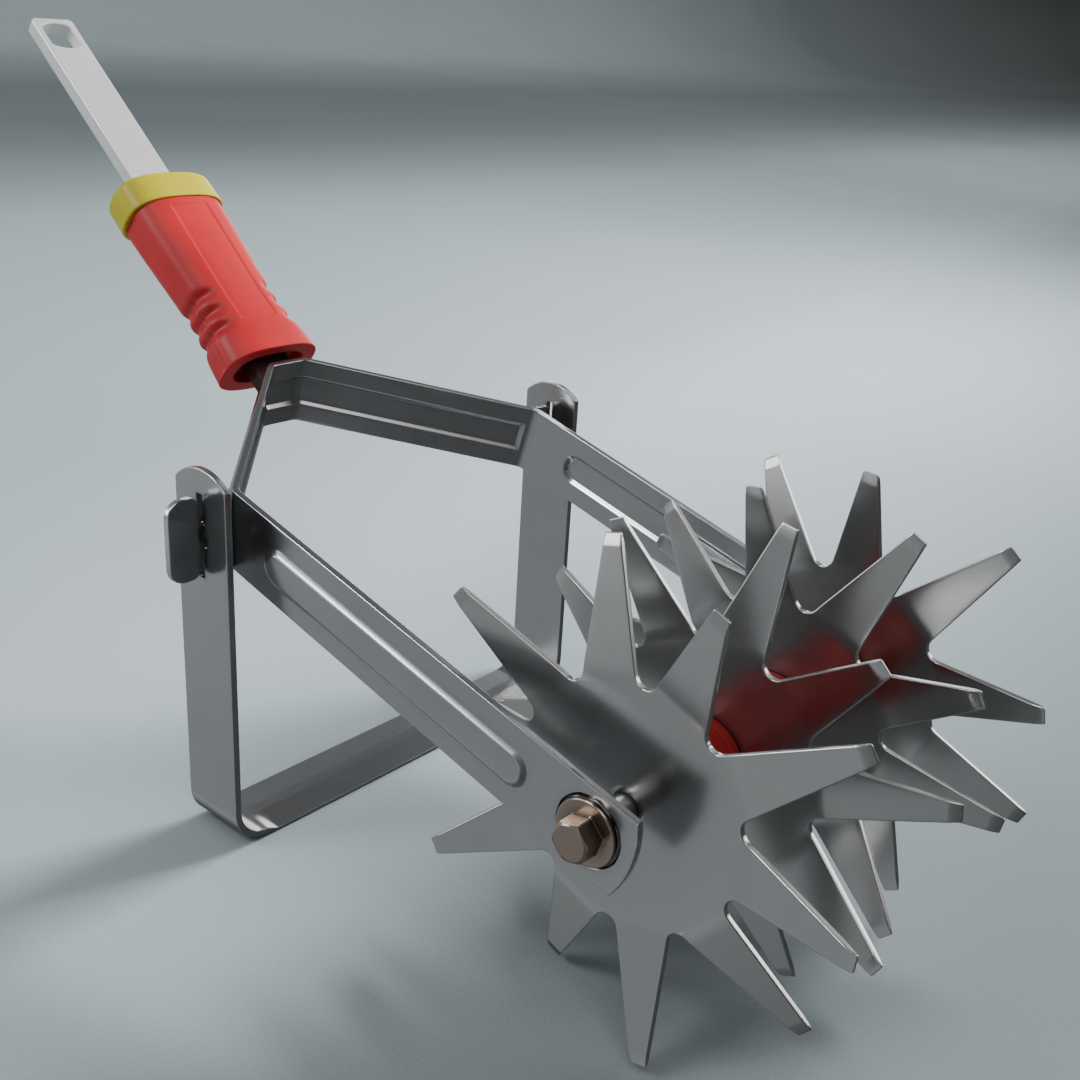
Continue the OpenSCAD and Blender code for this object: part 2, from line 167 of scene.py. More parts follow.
def rows_sheet(part, u, hw, cols, t, bev, warp):
    """A sheet whose outline is symmetric about v = 0: half width hw at each u. The rim is
    rounded. warp(u, v, w) -> tool frame, with w through the thickness."""
    n, K = len(u), len(cols)
    cols = np.asarray(cols)
    left = np.stack([u, -hw], 1)
    right = np.stack([u, hw], 1)
    end = np.stack([np.full(K - 2, u[-1]), cols[1:-1] * hw[-1]], 1)
    start = np.stack([np.full(K - 2, u[0]), cols[1:-1][::-1] * hw[0]], 1)
    loop = np.concatenate([left, end, right[::-1], start])
    M = len(loop)
    nor = loop_normals(loop)
    inset = loop - nor * bev
    iL = np.arange(n)
    iE = np.arange(n, n + K - 2)
    iR = np.arange(n + K - 2, 2 * n + K - 2)[::-1]
    iS = np.arange(2 * n + K - 2, M)[::-1]
    for side in (1, -1):
        rings = []
        for a in ROUND:
            pts = loop - nor * bev * (1 - math.sin(a))
            w = np.full(M, side * (t / 2 - bev * (1 - math.cos(a))))
            k = part.add(warp(pts[:, 0], pts[:, 1], w))
            rings.append(np.arange(k, k + M))
        for r0, r1 in zip(rings[:-1], rings[1:]):
            part.grid(np.stack([np.append(r0, r0[0]), np.append(r1, r1[0])]))
        top = rings[0]
        g = np.zeros((n, K), int)
        g[:, 0], g[:, -1] = top[iL], top[iR]
        g[-1, 1:-1], g[0, 1:-1] = top[iE], top[iS]
        uu, vv = [], []
        for j in range(1, n - 1):
            a, b = inset[iL[j]], inset[iR[j]]
            f = (cols[1:-1] + 1) / 2
            uu.append(a[0] + (b[0] - a[0]) * f)
            vv.append(a[1] + (b[1] - a[1]) * f)
        uu, vv = np.concatenate(uu), np.concatenate(vv)
        k = part.add(warp(uu, vv, np.full(len(uu), side * t / 2)))
        g[1:-1, 1:-1] = np.arange(k, k + len(uu)).reshape(n - 2, K - 2)
        part.grid(g)
        if side == 1:
            keep = rings[-1]
        else:
            part.grid(np.stack([np.append(keep, keep[0]), np.append(rings[-1], rings[-1][0])]))


def plate(part, loops, t, bev, warp):
    """A flat plate with holes: loops[0] anticlockwise, holes clockwise, every rim rounded."""
    for side in (1, -1):
        tops, ends = [], []
        for lp in loops:
            M = len(lp)
            nor = loop_normals(lp)
            rings = []
            for a in ROUND:
                pts = lp - nor * bev * (1 - math.sin(a))
                w = np.full(M, side * (t / 2 - bev * (1 - math.cos(a))))
                k = part.add(warp(pts[:, 0], pts[:, 1], w))
                rings.append(np.arange(k, k + M))
            for r0, r1 in zip(rings[:-1], rings[1:]):
                part.grid(np.stack([np.append(r0, r0[0]), np.append(r1, r1[0])]))
            tops.append((rings[0], lp - nor * bev))
            ends.append(rings[-1])
        ids = np.concatenate([q[0] for q in tops])
        tri = tessellate_polygon([[Vector((a, b, 0)) for a, b in q[1]] for q in tops])
        part.faces([tuple(int(ids[i]) for i in f) for f in tri])
        if side == 1:
            keep = ends
        else:
            for a, b in zip(keep, ends):
                part.grid(np.stack([np.append(a, a[0]), np.append(b, b[0])]))


def lathe(part, prof, frm, seg=72, closed=True):
    """prof: (along, radius); frm(a, y, z) -> tool frame"""
    prof = np.asarray(prof, float)
    th = np.arange(seg) * 2 * math.pi / seg
    rings = []
    for a, r in prof:
        k = part.add(frm(np.full(seg, a), r * np.cos(th), r * np.sin(th)))
        rings.append(np.append(np.arange(k, k + seg), k))
    if closed:
        rings.append(rings[0])
    part.grid(np.stack(rings))


def arc(cx, cy, r, a0, a1, n):
    a = np.radians(np.linspace(a0, a1, n))
    return np.stack([cx + r * np.cos(a), cy + r * np.sin(a)], 1)


class Bent:
    """A flat strap bent along a polyline with round corners, all on its middle surface."""

    def __init__(self, pts, radii):
        pts = [np.array(p, float) for p in pts]
        self.seg, s, cur = [], 0.0, pts[0]
        for i in range(1, len(pts)):
            d = pts[i] - pts[i - 1]
            d /= np.linalg.norm(d)
            if i < len(pts) - 1:
                e = pts[i + 1] - pts[i]
                e /= np.linalg.norm(e)
                turn = math.atan2(d[0] * e[1] - d[1] * e[0], d @ e)
                cut = radii[i] * math.tan(abs(turn) / 2)
                stop = pts[i] - d * cut
            else:
                stop = pts[i]
            ln = np.linalg.norm(stop - cur)
            self.seg.append((s, s + ln, cur, math.atan2(d[1], d[0]), 0.0))
            s += ln
            if i < len(pts) - 1:
                k = math.copysign(1 / radii[i], turn)
                self.seg.append((s, s + abs(turn) * radii[i], stop, math.atan2(d[1], d[0]), k))
                s += abs(turn) * radii[i]
                cur = pts[i] + e * cut
        self.length = s

    def at(self, s, w):
        """position for distance s and offset w to the right of the path"""
        s = np.asarray(s, float)
        x, y, nx, ny = (np.zeros_like(s) for _ in range(4))
        for i, (a, b, p, h, k) in enumerate(self.seg):
            m = (s >= a - (1e9 if i == 0 else 0)) & (s <= b + (1e9 if i == len(self.seg) - 1 else 0))
            ds = s[m] - a
            if k == 0:
                x[m], y[m] = p[0] + ds * math.cos(h), p[1] + ds * math.sin(h)
                hh = np.full(m.sum(), h)
            else:
                hh = h + ds * k
                x[m] = p[0] + (np.sin(hh) - math.sin(h)) / k
                y[m] = p[1] - (np.cos(hh) - math.cos(h)) / k
            nx[m], ny[m] = np.sin(hh), -np.cos(hh)
        return x + nx * w, y + ny * w


def steps(*parts):
    """rows of positions: (start, stop, spacing) one after another, without repeats"""
    out = []
    for a, b, d in parts:
        n = max(1, int(math.ceil((b - a) / d)))
        out.extend(list(np.linspace(a, b, n + 1)))
    out = sorted(out)
    keep = [out[0]]
    for q in out[1:]:
        if q - keep[-1] > 0.02:
            keep.append(q)
    return np.array(keep)


# ---------------------------------------------------------------- materials
def rgb(r, g, b):
    """colour as it looks, 0..255, to linear"""
    return tuple((c / 255 / 12.92) if c / 255 <= 0.04045 else ((c / 255 + 0.055) / 1.055) ** 2.4
                 for c in (r, g, b)) + (1.0,)


class Mat:
    def __init__(self, name):
        self.m = bpy.data.materials.new(name)
        self.m.use_nodes = True
        self.t = self.m.node_tree
        self.b = self.t.nodes["Principled BSDF"]
        self.co = self.t.nodes.new("ShaderNodeTexCoord")

    def node(self, kind, **kw):
        n = self.t.nodes.new(kind)
        for k, v in kw.items():
            if k.startswith("_"):
                setattr(n, k[1:], v)
            else:
                n.inputs[k].default_value = v
        return n

    def link(self, a, b):
        self.t.links.new(a, b)

    def noise(self, scale, detail=3.0, rough=0.55, stretch=None, off=(0, 0, 0)):
        mp = self.node("ShaderNodeMapping")
        mp.inputs["Scale"].default_value = stretch or (1, 1, 1)
        mp.inputs["Location"].default_value = off
        self.link(self.co.outputs["Object"], mp.inputs["Vector"])
        n = self.node("ShaderNodeTexNoise", Scale=scale, Detail=detail, Roughness=rough)
        self.link(mp.outputs["Vector"], n.inputs["Vector"])
        return n.outputs["Fac"]

    def ramp(self, fac, stops):
        r = self.t.nodes.new("ShaderNodeValToRGB")
        e = r.color_ramp.elements
        while len(e) < len(stops):
            e.new(0.5)
        for k, (p, c) in enumerate(stops):
            e[k].position = p
            e[k].color = c if len(c) == 4 else tuple(c) + (1,)
        self.link(fac, r.inputs["Fac"])
        return r.outputs["Color"]

    def grey(self, fac, lo, hi, a=0.3, b=0.7):
        r = self.node("ShaderNodeMapRange")
        r.inputs["From Min"].default_value = a
        r.inputs["From Max"].default_value = b
        r.inputs["To Min"].default_value = lo
        r.inputs["To Max"].default_value = hi
        self.link(fac, r.inputs["Value"])
        return r.outputs["Result"]

    def mix(self, a, b, f, mode="MIX"):
        n = self.t.nodes.new("ShaderNodeMix")
        n.data_type = "RGBA"
        n.blend_type = mode
        for s, q in ((n.inputs[6], a), (n.inputs[7], b), (n.inputs[0], f)):
            if hasattr(q, "links"):
                self.link(q, s)
            else:
                s.default_value = q
        return n.outputs[2]

    def bump(self, height, strength, dist, after=None):
        n = self.node("ShaderNodeBump", Strength=strength, Distance=dist)
        self.link(height, n.inputs["Height"])
        if after is not None:
            self.link(after, n.inputs["Normal"])
        return n.outputs["Normal"]

    def hollow_shade(self, dist, lo=0.25):
        """painted shade: darker in narrow places"""
        n = self.node("ShaderNodeAmbientOcclusion", Distance=dist)
        n.samples = 8
        return self.grey(n.outputs["AO"], lo, 1.0, 0.15, 0.85)

    def edge(self, lo=0.47, hi=0.56):
        """lighter on convex edges"""
        g = self.node("ShaderNodeNewGeometry")
        return self.grey(g.outputs["Pointiness"], 0.0, 1.0, lo, hi)


def steel(name, base, rough, grain=0.05, blot=0.025, brush=None, edge_rough=0.14, metal=0.98, grip_shade=None):
    m = Mat(name)
    big = m.noise(38, 4, 0.6)
    fine = m.noise(1700, 3, 0.7, brush)
    mid = m.noise(260, 4, 0.65, brush, (3, 1, 7))
    c0 = tuple(x * (1 - blot) for x in base[:3]) + (1,)
    c1 = tuple(min(1, x * (1 + blot)) for x in base[:3]) + (1,)
    c = m.ramp(big, [(0.36, c0), (0.64, c1)])
    f = m.grey(fine, 1 - grain, 1 + grain)
    c = m.mix(c, f, 1.0, "MULTIPLY")
    # painted highlight: convex edges of the metal get a lighter base colour
    e = m.edge(0.52, 0.60)
    c = m.mix(c, tuple(min(1, x * 1.5) for x in base[:3]) + (1,), e)
    # painted shade: the base colour darkens in narrow corners and recesses
    n = m.node("ShaderNodeAmbientOcclusion", Distance=0.0035)
    n.samples = 6
    c = m.mix(c, m.grey(n.outputs["AO"], 0.40, 1.0, 0.50, 0.94), 1.0, "MULTIPLY")
    if grip_shade is not None:
        # dark below the grip: painted shade with a painted dark red reflection of the grip's end
        d = m.node("ShaderNodeVectorMath", _operation="DOT_PRODUCT")
        m.link(m.co.outputs["Object"], d.inputs[0])
        d.inputs[1].default_value = grip_shade[0]
        f = m.grey(d.outputs["Value"], 0.0, 1.0, grip_shade[1] - 0.001, grip_shade[1] + 0.001)
        c = m.mix((0.055, 0.030, 0.028, 1), c, f)
    m.link(c, m.b.inputs["Base Color"])
    m.b.inputs["Metallic"].default_value = metal
    r = m.grey(big, rough - 0.01, rough + 0.02)
    rr = m.node("ShaderNodeMix", _data_type="FLOAT")
    m.link(e, rr.inputs[0])
    m.link(r, rr.inputs[2])
    rr.inputs[3].default_value = edge_rough
    m.link(rr.outputs[0], m.b.inputs["Roughness"])
    n = m.bump(fine, 0.018, 0.0001)
    n = m.bump(mid, 0.003, 0.0004, n)
    m.link(n, m.b.inputs["Normal"])
    return m.m


def plastic(name, base, rough, pores=0.12, shade=0.10, spec=0.45):
    m = Mat(name)
    big = m.noise(30, 3, 0.5)
    fine = m.noise(1500, 3, 0.6)
    pit = m.node("ShaderNodeTexVoronoi", Scale=1400)
    m.link(m.co.outputs["Object"], pit.inputs["Vector"])
    c0 = tuple(x * (1 - shade) for x in base[:3]) + (1,)
    c1 = tuple(min(1, x * (1 + shade)) for x in base[:3]) + (1,)
    c = m.ramp(big, [(0.35, c0), (0.65, c1)])
    c = m.mix(c, m.grey(fine, 0.93, 1.07), 1.0, "MULTIPLY")
    e = m.edge(0.52, 0.62)
    c = m.mix(c, tuple(min(1, x * 1.25 + 0.01) for x in base[:3]) + (1,), e)
    # painted shade: grooves, the grip's mouth and other narrow places are darker
    c = m.mix(c, m.hollow_shade(0.006, 0.30), 1.0, "MULTIPLY")
    m.link(c, m.b.inputs["Base Color"])
    m.link(m.grey(fine, rough - 0.06, rough + 0.08), m.b.inputs["Roughness"])
    m.b.inputs["Specular IOR Level"].default_value = spec
    n = m.bump(pit.outputs["Distance"], pores, 0.00012)
    n = m.bump(fine, pores, 0.0002, n)
    m.link(n, m.b.inputs["Normal"])
    return m.m


M_STEEL = steel("steel_satin", rgb(194, 195, 197), 0.22, 0.03, 0.02)
M_WHEEL = steel("steel_wheel", rgb(195, 196, 196), 0.22, 0.03, 0.02)
M_SPACER = steel("steel_spacer", rgb(176, 174, 172), 0.38, 0.03, 0.02, edge_rough=0.4)
UP = TONGUE_UP + BETA
# where the tongue's painted shade and painted reflection of the grip begin
GRIP_SHADE_START = to_row(tongue_frame(np.zeros(1), np.full(1, 220.4), np.full(1, TONGUE_N)))[0]
GRIP_SHADE_AXIS = (0.0, math.cos(UP), math.sin(UP))
M_TONGUE = steel("steel_tongue", rgb(240, 239, 238), 0.38, 0.05, 0.03, metal=0.40,
                 grip_shade=(GRIP_SHADE_AXIS, float(GRIP_SHADE_START[1] * GRIP_SHADE_AXIS[1] + GRIP_SHADE_START[2] * GRIP_SHADE_AXIS[2])))
M_BRONZE = steel("bronze_plating", rgb(172, 156, 142), 0.18, 0.03, 0.04)
M_RED = plastic("grip_red", rgb(204, 44, 48), 0.42)
M_HUB = plastic("hub_red", rgb(166, 22, 22), 0.35, 0.06, 0.06)
M_YELLOW = plastic("collar_yellow", rgb(206, 190, 38), 0.40, 0.10, 0.05)


# ---------------------------------------------------------------- yoke
def yoke():
    g = STRAP_T / 2
    ai = YOKE_W / 2 - STRAP_T
    d = np.array([MID_HW - ai, MID_Y - ARM_Y])
    d /= np.linalg.norm(d)
    a = math.atan2(-d[0], d[1])
    b = math.pi / 2 - a
    c1 = (ai + g, ARM_Y + g * math.tan(a / 2))
    c2 = (MID_HW + g * math.tan(b / 2), MID_Y + g)
    pts = [(-c1[0], -ARM_END), (-c1[0], c1[1]), (-c2[0], c2[1]), (c2[0], c2[1]), c1, (c1[0], -ARM_END)]
    r = BEND_RI + g
    path = Bent(pts, [0, r, r, r, r, 0])
    L = path.length
    hh = STRAP_H / 2
    # end arcs: half width over the last 2.7 mm
    er = (hh * hh + ARM_DROP * ARM_DROP) / (2 * ARM_DROP)
    fi = np.linspace(1.5, math.degrees(math.asin(hh / er)), 12)
    end_u = er - er * np.cos(np.radians(fi))
    end_h = er * np.sin(np.radians(fi))
    arm_l = path.seg[0][1]
    mids = []
    bends = [s for s in path.seg if s[4] != 0]
    b0, b1 = 22.7 + ARM_END, 137.0 + ARM_END          # bead on an arm, along it from the end
    s0 = bends[0][1] + 1.2                            # bead over the slopes and the middle
    dense = [(end_u[-1], ARM_END - 11.2, 0.6), (ARM_END - 11.2, ARM_END - 6.5, 0.22), (ARM_END - 6.5, ARM_END + 6.5, 0.7),
             (ARM_END + 6.5, ARM_END + 11.2, 0.22), (ARM_END + 11.2, b0 - 1, 3.2), (b0 - 1, b0 + 9, 0.3), (b0 + 9, b1 - 9, 5), (b1 - 9, b1 + 1, 0.3),
             (b1 + 1, bends[0][0], 3), (bends[0][0], bends[0][1], 0.45), (bends[0][1], s0 + 5, 0.3),
             (s0 + 5, bends[1][0], 5), (bends[1][0], bends[1][1], 0.45), (bends[1][1], L / 2, 3)]
    u = steps(*dense)
    u = np.concatenate([end_u[:-1], u])
    hw = np.concatenate([end_h[:-1], np.full(len(u) - len(end_u) + 1, hh)])
    u = np.concatenate([u, (L - u)[::-1]])
    hw = np.concatenate([hw, hw[::-1]])
    keep = np.concatenate([[True], np.diff(u) > 0.02])
    u, hw = u[keep], hw[keep]
    vs = np.concatenate([[0, 1.3, 2.6, 3.5, 4.1, 4.3], np.arange(4.5, 6.41, 0.2), np.arange(6.8, 9.9, 0.5),
                         np.arange(10.0, 11.1, 0.2), [12.4]])
    cols = np.concatenate([-vs[:0:-1], vs]) / hh
    cols = np.concatenate([[-1], cols, [1]])

    def wall(t):
        return sum(np.clip(t + k, 0, 1) for k in (-0.12, -0.06, 0, 0.06, 0.12)) / 5

    def bead(s, v):
        q = np.minimum(s, L - s)
        d1 = np.hypot(np.maximum(np.maximum(b0 + 6 - q, q - (b1 - 6)), 0), v)
        k = wall((6.25 - d1) / 1.75)
        e = np.minimum(q - s0, 6.0 - np.abs(v))
        k2 = wall((e + 0.1) / 1.5)
        k = np.maximum(k * (q < b1 + 1), k2 * (q >= s0))
        # walls, then a slightly crowned top on the arms
        return k * (1.25 + 0.35 * np.where(q < b1 + 1, np.clip(1 - (v / 5.5) ** 2, 0, 1), 0.5))

    def warp(s, v, w):
        # shallow round seat for the flange, on the outside only
        q = np.hypot(np.minimum(s, L - s) - ARM_END, v)
        seat = (YOKE_W / 2 - SEAT_X) * smooth((SEAT_R + 0.25 - q) / 0.5)
        seat = (seat + 0.5 * np.exp(-((q - 10.2) / 0.35) ** 2)) * (w > 0.6 * STRAP_T / 2)
        x, y = path.at(s, -(w + bead(s, v) - seat))
        return np.stack([x, y, v], 1)

    p = Part()
    rows_sheet(p, u, hw, cols, STRAP_T, 0.42, warp)
    return p.make("vis_yoke", "frame", ["yoke"], [M_STEEL])


def carve(ob, cut):
    """take the closed shapes in cut away from an object, then shade it again"""
    me = bpy.data.meshes.new("cutter")
    me.from_pydata([tuple(q) for q in to_row(np.concatenate(cut.v))], [], cut.f)
    bm = bmesh.new()
    bm.from_mesh(me)
    bmesh.ops.recalc_face_normals(bm, faces=bm.faces)
    bm.to_mesh(me)
    bm.free()
    co = bpy.data.objects.new("cutter", me)
    bpy.context.scene.collection.objects.link(co)
    md = ob.modifiers.new("eyes", "BOOLEAN")
    md.operation = "DIFFERENCE"
    md.solver = "EXACT"
    md.object = co
    apply_modifiers(ob)
    bpy.data.objects.remove(co)
    bpy.data.meshes.remove(me)
    ob.data.set_sharp_from_angle(angle=math.radians(40))
    w = ob.modifiers.new("weighted", "WEIGHTED_NORMAL")
    w.mode, w.weight, w.keep_sharp = "FACE_AREA", 60, True


# ---------------------------------------------------------------- star wheels
def star(i):
    x0, ph = (i - 1.5) * PITCH, math.radians(PHASES[i])
    bend = math.asin(TOOTH_OUT / (STAR_R - BEND_R))
    th = TIP_W / 2
    bev, t = 0.42, STAR_T
    c18 = math.pi / TEETH
    cen = np.array([ROOT_C * math.cos(c18), ROOT_C * math.sin(c18)])
    sl = math.atan(FLARE)
    # half outline of a tooth, from the bottom of the root to the tip
    a0 = math.degrees(c18) + 180
    a1 = 270 - math.degrees(sl)
    root = arc(cen[0], cen[1], ROOT_R, a0, a1, 9)
    xs = np.array([39.1, 39.7, 40.4, 41.3, 43, 47, 52, 58, 64, 70.7, 71.05, 71.4, 72.2, 73.2, 74.0])
    side = np.stack([xs, th + (STAR_R - xs) * FLARE], 1)
    tip = arc(STAR_R - 0.55, th - 0.45, 0.55, 80, 0, 5)
    half = np.concatenate([root, side, tip])
    u, hw = half[:, 0], half[:, 1]
    n = len(u)
    K = 9
    cols = np.linspace(-1, 1, K)
    h = 2.6
    cosb = math.cos(bend)

    def centre(s):
        """middle surface along a tooth: distance, sideways offset and slope"""
        ang = np.clip((s - (BEND_R - h)) / (2 * h), 0, 1) * bend
        x = np.where(s < BEND_R - h, s, 0.0)
        z = np.zeros_like(s)
        m = (s >= BEND_R - h) & (s <= BEND_R + h)
        R = 2 * h / bend
        x = np.where(m, BEND_R - h + R * np.sin(ang), x)
        z = np.where(m, R * (1 - np.cos(ang)), z)
        m = s > BEND_R + h
        x = np.where(m, BEND_R - h + R * math.sin(bend) + (s - BEND_R - h) * cosb, x)
        z = np.where(m, R * (1 - cosb) + (s - BEND_R - h) * math.sin(bend), z)
        return x, z, ang

    p = Part()
    body_rings = {}
    for side_w in (1, -1):
        chord = []
        for k in range(TEETH):
            sgn = -1 if k % 2 == 0 else 1
            rot = ph + 2 * math.pi * k / TEETH

            def warp(uu, vv, ww):
                s = np.where(uu > BEND_R, BEND_R + (uu - BEND_R) / cosb, uu)
                x, z, ang = centre(s)
                over = np.clip((uu - STAR_R + TIP_BEVEL * cosb) / (TIP_BEVEL * cosb), 0, 1)
                ww = ww * (1 - (1 - TIP_EDGE / t) * (0.55 + 0.45 * over) * over)
                r = x - sgn * ww * np.sin(ang)
                z = sgn * z + ww * np.cos(ang)
                return np.stack([x0 + z, r * math.cos(rot) - vv * math.sin(rot),
                                 r * math.sin(rot) + vv * math.cos(rot)], 1)

            left = np.stack([u, -hw], 1)
            right = np.stack([u, hw], 1)
            end = np.stack([np.full(K - 2, u[-1]), cols[1:-1] * hw[-1]], 1)
            loop = np.concatenate([left, end, right[::-1]])
            M = len(loop)
            e = np.diff(loop, axis=0)
            e /= np.linalg.norm(e, axis=1)[:, None]
            nn = np.stack([e[:, 1], -e[:, 0]], 1)
            nor = np.concatenate([nn[:1], nn[:-1] + nn[1:], nn[-1:]])
            nor[0] = (math.cos(c18), -math.sin(c18))
            nor[-1] = (math.cos(c18), math.sin(c18))
            nor /= np.linalg.norm(nor, axis=1)[:, None]
            rings = []
            for a in ROUND:
                pts = loop - nor * bev * (1 - math.sin(a))
                w = np.full(M, side_w * (t / 2 - bev * (1 - math.cos(a))))
                q = p.add(warp(pts[:, 0], pts[:, 1], w))
                rings.append(np.arange(q, q + M))
            for r0, r1 in zip(rings[:-1], rings[1:]):
                p.grid(np.stack([r0, r1]))
            if side_w == 1:
                body_rings[k] = rings[-1]
            else:
                p.grid(np.stack([body_rings[k], rings[-1]]))
            inset = loop - nor * bev
            top = rings[0]
            g = np.zeros((n, K), int)
            g[:, 0] = top[:n]
            g[:, -1] = top[n + K - 2:][::-1]
            g[-1, 1:-1] = top[n:n + K - 2]
            uu, vv = [], []
            for j in range(n - 1):
                a, b = inset[j], inset[M - 1 - j]
                f = (cols[1:-1] + 1) / 2
                uu.append(a[0] + (b[0] - a[0]) * f)
                vv.append(a[1] + (b[1] - a[1]) * f)
            uu, vv = np.concatenate(uu), np.concatenate(vv)
            q = p.add(warp(uu, vv, np.full(len(uu), side_w * t / 2)))
            g[:-1, 1:-1] = np.arange(q, q + len(uu)).reshape(n - 1, K - 2)
            p.grid(g)
            chord.extend(list(g[0, :-1]))
        # the flat middle, from the roots in to the bore
        allv = np.concatenate(p.v)
        ring = np.array(chord)
        pos = allv[ring]
        ang = np.arctan2(pos[:, 2], pos[:, 1])
        prev = np.append(ring, ring[0])
        for r in (31.0, 24.0, 17.0, 11.0, 7.0, BOSS_R):
            q = p.add(np.stack([np.full(len(ang), x0 + side_w * t / 2), r * np.cos(ang), r * np.sin(ang)], 1))
            cur = np.append(np.arange(q, q + len(ang)), q)
            p.grid(np.stack([prev, cur]))
            prev = cur
        if side_w == 1:
            bore = prev
        else:
            p.grid(np.stack([bore, prev]))
    return p.make("vis_star_wheel_%d" % (i + 1), "star_%d" % (i + 1), ["star_wheel_%d" % (i + 1)],
                  [M_WHEEL], merge=0.01)


# ---------------------------------------------------------------- hubs
def hub(name, i, side, boss):
    x0 = (i - 1.5) * PITCH
    a1 = PITCH / 2 - 0.1
    prof = [(1 - boss, 3.1), (1 - boss, BOSS_R - 0.05), (1.02, BOSS_R - 0.05), (1.02, HUB_R - 0.25),
            (1.3, HUB_R), (4.2, HUB_R), (4.5, HUB_R - 0.35), (a1 - 2.3, HUB_R - 0.35), (a1 - 2.0, HUB_R),
            (a1 - 0.75, HUB_R), (a1 - 0.22, HUB_R - 0.22), (a1, HUB_R - 0.75), (a1, 6.2), (a1 - 0.3, 5.9),
            (a1 - 0.3, 3.5), (a1 - 0.6, 3.1)]
    p = Part()
    lathe(p, prof, lambda a, y, z: np.stack([x0 + side * a, y, z], 1), 80)
    return p.make("vis_" + name, "star_%d" % (i + 1), [name], [M_HUB], angle=40)


# ---------------------------------------------------------------- axle
def hexagon(part, x_face, side, length, af=11.0, flange_r=9.9, flange_t=1.9, turn=33.0, stub=0.0):
    corner = af / math.sqrt(3)
    base = [0, 1.2, 3, 6, 11, 18, 24, 30, 36, 42, 49, 54, 57, 58.8]
    th = np.radians(np.array([k * 60 + b for k in range(6) for b in base]))
    seg = len(th)
    rel = np.abs((np.degrees(th) % 60) - 30)
    rho = np.minimum(af / 2 / np.cos(np.radians(rel)), corner - 0.18)
    fr = af / 2 - 0.35                            # round face on top, inside a chamfer of 30 degrees
    top = flange_t + length
    cut = top - 0.10 - np.maximum(rho - fr, 0) * 0.577
    rows = []

    def row(a, r):
        a = np.full(seg, a) if np.isscalar(a) else a
        r = np.full(seg, r) if np.isscalar(r) else r
        q = part.add(np.stack([x_face + side * a, r * np.cos(th + math.radians(turn)),
                               r * np.sin(th + math.radians(turn))], 1))
        rows.append(np.append(np.arange(q, q + seg), q))

    row(0.0, 3.0)
    row(0.0, flange_r - 0.5)
    row(0.10, flange_r - 0.42)
    row(0.50, flange_r - 0.30)
    row(0.72, flange_r - 0.06)
    row(0.90, flange_r)
    row(flange_t - 0.62, flange_r)
    row(flange_t - 0.36, flange_r - 0.07)
    row(flange_t - 0.17, flange_r - 0.27)
    row(flange_t - 0.10, flange_r - 0.55)
    row(flange_t, rho + 1.0)
    row(flange_t + 0.12, rho + 0.25)
    row(flange_t + 0.4, rho)
    row((cut + flange_t) / 2, rho)
    row(cut - 0.14, rho)
    row(cut + 0.02, rho - 0.03)
    row(np.maximum(cut + 0.06, (cut + top - 0.1) / 2), (rho - 0.03 + fr) / 2)
    row(top - 0.10, fr)
    row(top - 0.03, fr - 0.12)
    row(top, fr - 0.34)
    if stub:
        row(top, 2.95)
        row(top + stub - 0.5, 2.95)
        row(top + stub, 2.45)
    part.grid(np.stack(rows))
    q = rows[-1][:-1]
    part.faces([tuple(int(v) for v in q)])


def axle():
    p = Part()
    hexagon(p, -SEAT_X, -1, 6.5)
    lathe(p, [(-75.6, 0.02), (-75.6, 2.98), (75.5, 2.98), (75.5, 0.02)],
          lambda a, y, z: np.stack([a, y, z], 1), 40)
    p.make("vis_axle_bolt", "frame", ["axle_bolt"], [M_BRONZE], angle=32)
    p = Part()
    hexagon(p, SEAT_X, 1, 6.0, turn=11.0, stub=1.4)
    p.make("vis_axle_nut", "frame", ["axle_nut"], [M_BRONZE], angle=32)
    for nm, sg in (("spacer_right", -1), ("spacer_left", 1)):
        p = Part()
        lathe(p, [(58.63, 3.15), (58.63, 4.23), (58.66, 4.25), (72.5, 4.25), (72.56, 4.2), (72.56, 3.15)],
              lambda a, y, z: np.stack([sg * a, y, z], 1), 48)
        p.make("vis_" + nm, "frame", [nm], [M_SPACER], angle=50)


